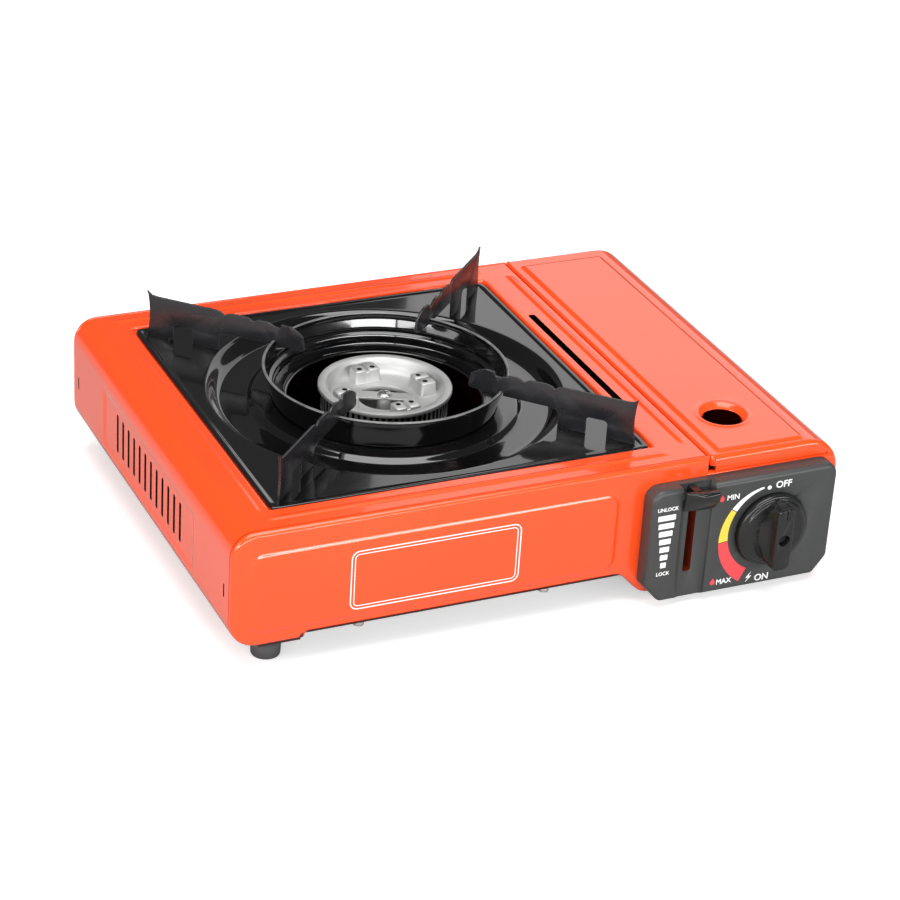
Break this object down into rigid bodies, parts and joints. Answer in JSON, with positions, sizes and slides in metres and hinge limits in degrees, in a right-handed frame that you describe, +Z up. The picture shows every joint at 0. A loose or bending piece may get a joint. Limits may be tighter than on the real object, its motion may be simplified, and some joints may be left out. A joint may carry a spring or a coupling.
{
  "type": "portable gas stove",
  "caption": "Low rectangular portable gas stove with one ring burner, enamelled drip tray with pan supports, hinged cartridge lid, lock lever and control knob.",
  "frame": {"origin": "middle of the footprint, on the table under the feet", "axes": "+X to the right as seen from the control side, +Y to the back, +Z up"},
  "size_m": [0.34, 0.28, 0.105],
  "materials": {
    "red_paint": "gloss",
    "black_enamel": "gloss enamel",
    "dark_plastic": "satin",
    "gloss_plastic": "semi-gloss",
    "zinc_steel": "zinc plated",
    "cast_alloy": "as cast",
    "brass": "turned",
    "copper": "drawn copper pipe",
    "rubber": "matte",
    "ceramic": "matte"
  },
  "bodies": {
    "housing": {"body_shell": "red_paint", "front_panel": "red_paint", "rear_panel": "red_paint", "base_plate": "red_paint", "bay_pan": "red_paint", "lever_guide": "red_paint", "control_panel": "dark_plastic", "piezo_igniter": "dark_plastic", "bay_divider": "zinc_steel", "cartridge_cradle": "zinc_steel", "foot_screws": "zinc_steel", "base_screws": "zinc_steel", "panel_screws": "zinc_steel", "hinge_rod": "zinc_steel", "regulator_bracket": "zinc_steel", "regulator_cover": "zinc_steel", "regulator_screws": "zinc_steel", "electrode_bracket": "zinc_steel", "electrode_rod": "zinc_steel", "burner_bracket": "zinc_steel", "bracket_screws": "zinc_steel", "burner_strip": "zinc_steel", "burner_screw": "zinc_steel", "lever_spring": "zinc_steel", "heat_plate": "cast_alloy", "regulator_body": "cast_alloy", "mixer_tube": "cast_alloy", "burner_cup": "cast_alloy", "burner_head": "cast_alloy", "jet_holder": "brass", "jet_nozzle": "brass", "gas_pipe": "copper", "foot_left_front": "rubber", "foot_left_rear": "rubber", "foot_right_front": "rubber", "foot_right_rear": "rubber", "inlet_seal": "rubber", "igniter_lead": "rubber", "electrode_insulator": "ceramic"},
    "lid": {"cartridge_lid": "red_paint"},
    "dial": {"knob": "gloss_plastic", "valve_spindle": "brass", "igniter_cam": "dark_plastic", "knob_screw": "zinc_steel"},
    "lever": {"lock_lever": "gloss_plastic", "lever_carriage": "zinc_steel", "cam_pin": "zinc_steel"},
    "pusher": {"cartridge_pusher": "zinc_steel"},
    "tray": {"drip_tray": "black_enamel", "wind_ring": "black_enamel", "pan_support_0": "black_enamel", "pan_support_1": "black_enamel", "pan_support_2": "black_enamel", "pan_support_3": "black_enamel"}
  },
  "joints": [
    {"name": "lid_hinge", "type": "hinge", "parent": "housing", "child": "lid", "pos_m": [0.1672, 0.0125, 0.06], "axis": [0, 1, 0], "range_deg": [0, 90]},
    {"name": "knob_turn", "type": "hinge", "parent": "housing", "child": "dial", "pos_m": [0.126, -0.125, 0.0385], "axis": [0, -1, 0], "range_deg": [0, 150]},
    {"name": "lever_slide", "type": "slide", "parent": "housing", "child": "lever", "axis": [0, 0, 1], "range_m": [-0.036, 0], "stiffness_N_per_m": 40, "springref_m": 0.02, "deforming": ["lever_spring"]},
    {"name": "pusher_slide", "type": "slide", "parent": "housing", "child": "pusher", "axis": [0, 1, 0], "range_m": [-0.008, 0]},
    {"name": "tray_lift", "type": "slide", "parent": "housing", "child": "tray", "axis": [0, 0, 1], "range_m": [0, 0.08]}
  ],
  "couplings": [
    {"joint": "pusher_slide", "follows": "lever_slide", "ratio": 0.22222}
  ]
}
